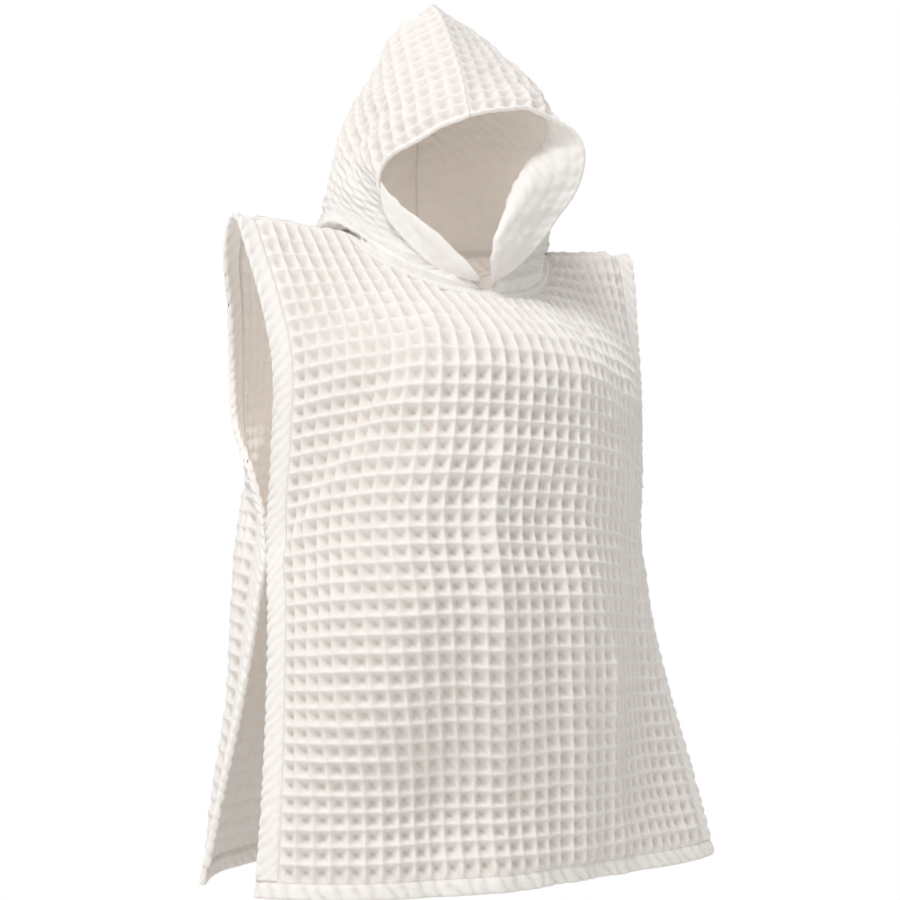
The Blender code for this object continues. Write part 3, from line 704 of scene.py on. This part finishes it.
side_hems = {(name, side): make_side_hem(name, side) for name in SECTIONS for side in (-1, 1)}
bottom_hems = {name: make_bottom_hem(name) for name in SECTIONS}
print(len(side_hems) + len(bottom_hems), "hems")

# %% [markdown]
# ## Neck band
#
# The raw seam of hood and body is covered by a flat strip of the same cotton, stitched down along
# both of its edges. It follows the edge of the neck hole over the front and round the nape.


# %% Neck band
BAND_OFFSET = 2.2
BAND_STITCHES = (0.16, 0.84)            # shares of the band's width
BAND_STITCH_OFFSET = 3.3


def neck_place(turn, margin, offset):
    """A place beside the neck hole. turn runs from 0 to 4 quarter turns, from the right shoulder."""
    turn = np.mod(turn, 4.0)
    front = turn < 2.0
    angle = (turn - 1.0) * math.pi / 2
    angle_back = (3.0 - turn) * math.pi / 2
    spots = []
    for name, pick in (("front", angle), ("back", angle_back)):
        across = (NECK_HALF_WIDTH + margin) * np.sin(pick)
        down = (NECK_DROP[name] + margin) * np.cos(pick)
        points, out = worn(name, across, np.maximum(down, 0.0))
        spots.append((points + out * offset[..., None], out))
    chosen = front[..., None]
    return np.where(chosen, spots[0][0], spots[1][0]), np.where(chosen, spots[0][1], spots[1][1])


def make_neck_band():
    share = np.array((-0.06, -0.02, 0.1, 0.16, 0.3, 0.5, 0.7, 0.84, 0.9, 1.02, 1.06))
    half = np.array((0.3, 1.7, 2.1, 1.1, 1.9, 2.2, 1.9, 1.1, 2.1, 1.6, 0.3))
    turns = np.linspace(0.0, 4.0, 320, endpoint=False)
    turns, share = np.meshgrid(turns, share)
    points, out = neck_place(turns, share * NECK_BAND, np.full(turns.shape, BAND_OFFSET))
    flat = np.stack((share * NECK_BAND, turns * 148.0), axis=-1)
    lift = np.broadcast_to(0.5, turns.shape)
    wall = np.tile(half[:, None], (1, turns.shape[1]))
    piece = cloth_piece("neck_band_cloth", points, out, wall, flat, lift, -lift, ring=True)
    return run_tree(piece, HEM_PUCKERS, Pitch=0.0045, Slant=0.3, Height=0.0005, Wander=1.5,
                    Material=HEM_COTTON)


neck_band = make_neck_band()

# %% [markdown]
# ## Hood
#
# The hood is two mirrored pieces, joined along the crown and down the back. Each is a net of lines
# that run from the neck seam up to the crown seam: its face edge, the fold where the front rolls open
# like a lapel, the cheek, the corner behind the ear and the centre seam down the back. A row of cloth
# runs smoothly through the five lines. The weave is measured along the cloth from the face edge and
# from the crown seam, so that its cells keep their real size and are cut off where the neck seam is.
# Where the two directions lean together the cells are pressed flat, as skewed cloth is.

# %% Hood lines
HOOD_SHARES = (0.0, 0.12, 0.38, 0.68, 1.0)
HOOD_FEET = (0.0, 0.02, 0.38, 0.68, 1.0)     # where those lines meet the neck edge, V to nape
HOOD_HEIGHTS = (0.0, 0.05, 0.16, 0.32, 0.48, 0.64, 0.81, 0.92, 1.0)
HOOD_CROWN = ((-29, -128, 81), (-27, -118, 96), (-20, -89, 136), (-8, -30, 201), (0, 22, 242))
HOOD_SEAM = ((5, 60, 8), (13, 84, 64), (18, 92, 116), (16, 88, 160), (9, 70, 205), (4, 50, 231))
HOOD_LINES = {              # x, y, z at the last six heights below the crown seam
    "right": (
        ((-32, -90, -60), (-61, -73, -34), (-82, -54, 3), (-85, -57, 44), (-61, -95, 65), (-46, -112, 74)),
        ((-20, -106, -58), (-50, -94, -24), (-79, -66, 12), (-88, -40, 56), (-65, -82, 80), (-48, -101, 90)),
        ((-107, -18, -9), (-99, -2, 10), (-95, 0, 42), (-85, -10, 80), (-64, -38, 124), (-44, -62, 135)),
        ((-104, 20, -7), (-95, 46, 22), (-82, 63, 72), (-71, 58, 119), (-47, 44, 170), (-30, 19, 206)),
        HOOD_SEAM,
    ),
    "left": (
        ((32, -113, -46), (62, -119, -8), (89, -125, 36), (84, -131, 74), (27, -133, 93), (2, -132, 89)),
        ((6, -121, -41), (15, -125, -6), (36, -122, 33), (66, -112, 78), (41, -120, 108), (10, -120, 106)),
        ((103, -24, -9), (95, -37, 24), (93, -46, 66), (88, -58, 98), (66, -70, 138), (27, -78, 145)),
        ((102, 24, -4), (91, 46, 50), (85, 50, 103), (74, 38, 148), (52, 10, 188), (32, 6, 213)),
        HOOD_SEAM,
    ),
}
HOOD_STAND = 0.9
HOOD_FRONT_SHARE = 0.56
HOOD_DRAW = 3.0
HOOD_RISE = 10.0
HOOD_LIFTED = 14.6
HOOD_SPREAD = {-1: 8.0, 1: 7.0}         # how far aside the face edge starts, right and left
FOLD_SPREAD = 2.5                       # and the fold
HOOD_DROP = (0.55, 0.55, 0.5, 0.4, 0.4)     # how far each line's foot settles back on the neck seam
SEAM_INSET = 0.05


def hood_corner(side, share, inside=0.0, stand=HOOD_STAND):
    """The neck hole's edge under a hood half, from the V at the front (0) to the nape (1)."""
    front = share <= HOOD_FRONT_SHARE
    turn = np.where(front, side * share / HOOD_FRONT_SHARE, side * (1.0 - share) / (1.0 - HOOD_FRONT_SHARE))
    found = []
    for name in ("front", "back"):
        points, out = worn(name, (NECK_HALF_WIDTH - inside) * np.sin(turn * math.pi / 2),
                           (NECK_DROP[name] - inside) * np.cos(turn * math.pi / 2))
        found.append(points + out * stand)
    return np.where(front[..., None], found[0], found[1])


def hood_form(side, along, up):
    """Places of a hood half's cloth at every pair of two lists of shares."""
    shares = np.array(HOOD_SHARES)
    lines = np.array(HOOD_LINES["right" if side < 0 else "left"], float).transpose(1, 0, 2)
    feet = np.array(HOOD_FEET)
    lifted = hood_corner(side, feet, HOOD_RISE, HOOD_LIFTED)
    lifted += (hood_corner(side, feet) - lifted) * np.array(HOOD_DROP)[:, None]
    lifted[0, 0] += side * HOOD_SPREAD[side]
    lifted[1, 0] += side * FOLD_SPREAD
    crown = np.array(HOOD_CROWN, float)
    net = np.concatenate((hood_corner(side, feet)[None], lifted[None], lines, crown[None]))
    levels = glide(HOOD_HEIGHTS, net, up)
    rows = glide(shares, levels.transpose(1, 0, 2), np.linspace(0.0, 1.0, 121)).transpose(1, 0, 2)
    grid = np.zeros((len(up), len(along), 3))
    for placed, row in zip(grid, rows):
        run = lengths(row)
        for axis in range(3):
            placed[:, axis] = np.interp(along * run[-1], run, row[:, axis])
    drawn = hood_corner(side, np.interp(along, shares, feet)) - grid[0]
    grid += drawn * ((1.0 - up) ** HOOD_DRAW)[:, None, None]
    return blunt_peak(smooth_inside(grid, 3), along, up)


def lengths(points):
    """Length so far along each line of points, over the last-but-one axis."""
    steps = np.linalg.norm(np.diff(points, axis=-2), axis=-1)
    return np.concatenate((np.zeros(steps.shape[:-1] + (1,)), np.cumsum(steps, axis=-1)), axis=-1)


def smooth_inside(grid, times):
    """Rounds the small corners of a grid, except at its edges."""
    for _ in range(times):
        beside = grid[:-2, 1:-1] + grid[2:, 1:-1] + grid[1:-1, :-2] + grid[1:-1, 2:]
        grid[1:-1, 1:-1] = grid[1:-1, 1:-1] * 0.5 + beside * 0.125
    return grid


def blunt_peak(grid, along, up):
    """Rounds the peak, along both seams alike so that the two halves still meet."""
    a, u = np.meshgrid(along, up)
    near = 0.5 * np.exp(-((1.0 - a) ** 2 + (1.0 - u) ** 2) / 0.11 ** 2)[..., None]
    for _ in range(130):
        soft = grid.copy()
        soft[1:-1, 1:-1] = (grid[:-2, 1:-1] + grid[2:, 1:-1] + grid[1:-1, :-2] + grid[1:-1, 2:]) / 4
        soft[-1, 1:-1] = (grid[-1, :-2] + grid[-1, 2:]) / 2
        soft[1:-1, -1] = (grid[:-2, -1] + grid[2:, -1]) / 2
        soft[-1, -1] = (grid[-1, -2] + grid[-2, -1]) / 2
        grid += near * (soft - grid)
    return grid


# %% Hood halves
FACE_BEAD = 2.2


def lay_hood():
    """Both halves: places, outward directions that agree along their seams, and the flat place."""
    edge = np.array((0.0, 0.002, 0.006, 0.012, 0.018, 0.024, 0.030))
    along = np.concatenate((edge, np.linspace(0.037, 1.0, 155)))
    up = np.linspace(0.0, 1.0, 165)
    laid = {}
    for side in (-1, 1):
        points = hood_form(side, along, up)
        ways = np.gradient(points, along, axis=1), np.gradient(points, up, axis=0)
        out = np.cross(*ways) * side
        area = np.linalg.norm(out, axis=-1)
        out /= area[..., None]
        squareness = area / np.prod([np.linalg.norm(way, axis=-1) for way in ways], axis=0)
        across = lengths(points)
        climb = lengths(points[::-1].transpose(1, 0, 2)).T[::-1]
        laid[side] = [points, out, across, climb, lengths(points.transpose(1, 0, 2)).T, squareness]
    shared = laid[-1][1] + laid[1][1]
    shared[-1, -1] = shared[-1, -2] + shared[-2, -1]
    shared /= np.maximum(np.linalg.norm(shared, axis=-1, keepdims=True), 0.01)
    for side in (-1, 1):
        laid[side][1][-1] = shared[-1]
        laid[side][1][:, -1] = shared[:, -1]
    return laid


def make_hood(side, points, out, across, climb, from_neck, squareness):
    hand = "right" if side < 0 else "left"
    to_seam = np.minimum(climb, lengths(points[:, ::-1])[:, ::-1])
    gathers = np.sin(across / 2.1 + 1.7 * np.sin(across / 9.0 + side)) * np.exp(-from_neck / 16.0)
    gathers *= fade(across, 25.0, 60.0)
    wrinkles = np.sin(across / 7.0 + 2.2 * np.sin(climb / 23.0 + side))
    wrinkles = wrinkles * np.sin(climb / 11.0 + 1.9 * np.sin(across / 17.0))
    pressed = (press("hood_" + hand, across, climb) + 0.9 * wrinkles) * fade(to_seam, 0.0, 12.0)
    pressed = pressed + 0.8 * gathers
    points = points + out * pressed[..., None]
    points[..., 0] += side * SEAM_INSET
    bead = np.sqrt(np.clip(1 - ((across - FACE_BEAD) / (FACE_BEAD + 0.15)) ** 2, 0.0, 1.0)) * FACE_BEAD
    scallops = 1.0 + 0.18 * np.sin(climb / 1.7 + np.sin(climb / 7.0))
    bead *= (0.4 + 0.6 * fade(from_neck, 0.0, 40.0)) * scallops
    half = np.maximum(np.where(across < 2 * FACE_BEAD + 0.3, bead, 0.0), WALL * fade(across, -1.0, 0.6))
    half = np.maximum(half, 0.25)
    relief = fade(across, 4.0, 8.0) * fade(from_neck, 1.0, 9.0) * (0.4 + 0.6 * fade(from_neck, 10.0, 60.0))
    relief *= 0.25 + 0.75 * fade(squareness, 0.5, 0.95)
    cut = np.stack((across, climb), axis=-1)
    piece = cloth_piece(f"hood_{hand}_cloth", points, out, half, cut, relief + 0.15, relief * 0.12 + 0.12)
    run_tree(piece, WAFFLE_RELIEF, Cell_Across=CELL_ACROSS * MM, Cell_Down=CELL_DOWN * MM, Depth=0.0056,
             Material=WAFFLE_COTTON)
    rows, columns = (lengths(points)[:, -1], from_neck[-1])
    print(piece.name, "rows", rows.min().round(), rows.max().round(), "columns", columns.min().round(),
          columns.max().round(), "mm,", len(piece.data.polygons) * 2, "triangles")
    return piece


hood_laid = lay_hood()
hood = {"right": make_hood(-1, *hood_laid[-1]), "left": make_hood(1, *hood_laid[1])}

# %% [markdown]
# ## Stitches
#
# Lines of stitches hold the hems and the neck band. A stitch is one short loop of thread that lies on
# the cloth between two holes. A tree walks along a path and puts a small capsule every few
# millimetres, which would be hundreds of objects if they were placed one by one.


# %% Stitch rows
def make_stitch_row():
    tree, given, result = new_tree("GeometryNodeTree", "stitch_row", {
        "Geometry": ("Geometry", None), "Spacing": ("Float", 0.0034), "Length": ("Float", 0.0026),
        "Thickness": ("Float", 0.001), "Material": ("Material", None)}, {"Geometry": ("Geometry", None)})
    curve = add_node(tree, "GeometryNodeMeshToCurve", Mesh=given.outputs["Geometry"])
    spots = add_node(tree, "GeometryNodeCurveToPoints", {"mode": "LENGTH"}, Curve=curve.outputs[0],
                     Length=given.outputs["Spacing"])
    loop = add_node(tree, "GeometryNodeMeshUVSphere", Segments=6, Rings=4, Radius=0.5)
    size = add_node(tree, "ShaderNodeCombineXYZ", X=given.outputs["Thickness"], Y=given.outputs["Thickness"],
                    Z=given.outputs["Length"])
    stitches = add_node(tree, "GeometryNodeInstanceOnPoints", Points=spots.outputs["Points"],
                        Instance=loop.outputs["Mesh"], Rotation=spots.outputs["Rotation"],
                        Scale=size.outputs[0])
    realized = add_node(tree, "GeometryNodeRealizeInstances", Geometry=stitches.outputs[0])
    painted = add_node(tree, "GeometryNodeSetMaterial", Geometry=realized.outputs[0],
                       Material=given.outputs["Material"])
    tree.links.new(painted.outputs[0], result.inputs["Geometry"])
    return tree


STITCH_ROW = make_stitch_row()


def sew(name, lines, **sizes):
    """Makes one piece of stitches along lines of points, in millimetres."""
    corners = np.concatenate(lines) * MM
    ends = np.cumsum([len(line) for line in lines])
    links = [(k, k + 1) for k in range(len(corners) - 1) if k + 1 not in ends]
    mesh = bpy.data.meshes.new(name)
    mesh.from_pydata(corners.tolist(), links, [])
    piece = bpy.data.objects.new(name, mesh)
    bpy.context.scene.collection.objects.link(piece)
    run_tree(piece, STITCH_ROW, Material=THREAD, **sizes)
    piece.data.shade_smooth()
    return piece


def on_panel(name, across, down, offset):
    points, out = worn(name, across, down)
    return points + out * offset


stitches = {}
for name in SECTIONS:
    down = np.linspace(1.0, PANEL_LENGTH - BOTTOM_HEM, 300)
    across = np.linspace(-PANEL_WIDTH / 2 + 2.0, PANEL_WIDTH / 2 - 2.0, 260)
    lines = [on_panel(name, side * (PANEL_WIDTH / 2 - SIDE_HEM + 1.8) + 0 * down, down, face)
             for side in (-1, 1) for face in (1.2, -1.2)]
    hem_seam = PANEL_LENGTH - BOTTOM_HEM + 1.8 + 0 * across
    lines += [on_panel(name, across, hem_seam, face) for face in (1.5, -1.5)]
    stitches[name] = sew(name + "_hem_stitches", lines)
turns = np.linspace(0.0, 4.0, 400)
rings = [neck_place(turns, np.full(400, share * NECK_BAND), np.full(400, BAND_STITCH_OFFSET))[0]
         for share in BAND_STITCHES]
stitches["neck"] = sew("neck_band_stitches", rings, Spacing=0.003, Length=0.0023)

# %% [markdown]
# ## Side tacks
#
# Under each arm a short bar of thread joins the rolled edges of front and back. It crosses from one
# edge to the other and back, so it is a zigzag of longer stitches.


# %% Side tacks
TACK_TOP = 284.0
TACK_LENGTH = 30.0


def make_tack(side):
    down = np.linspace(TACK_TOP, TACK_TOP + TACK_LENGTH, 15)
    edge = np.full(15, side * (PANEL_WIDTH / 2 - 1.5))
    front = on_panel("front", edge, down, 2.4)
    back = on_panel("back", edge, down, 2.4)
    zigzag = np.where((np.arange(15) % 2 == 0)[:, None], front, back)
    return sew(f"side_tack_{'right' if side < 0 else 'left'}_thread", [zigzag], Spacing=0.0016, Length=0.0024,
               Thickness=0.0009)


tacks = {"right": make_tack(-1), "left": make_tack(1)}

# %% [markdown]
# ## Attached to the body
#
# Each piece now moves with the garment's one body, and the solid of model.glb that it stands for is
# hidden.


def settle(piece, slot, *nodes):
    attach(piece, "root")
    if nodes:
        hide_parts(*nodes)


for name, panel in panels.items():
    settle(panel, "waffle_cotton", name + "_panel")
    settle(bottom_hems[name], "hem_cotton", name + "_bottom_hem")
    settle(stitches[name], "sewing_thread")
    for side, hand in ((-1, "right"), (1, "left")):
        settle(side_hems[name, side], "hem_cotton", f"{name}_side_hem_{hand}")
for hand, half in hood.items():
    settle(half, "waffle_cotton", "hood_" + hand)
    settle(tacks[hand], "sewing_thread", "side_tack_" + hand)
settle(neck_band, "hem_cotton", "neck_band")
settle(stitches["neck"], "sewing_thread")
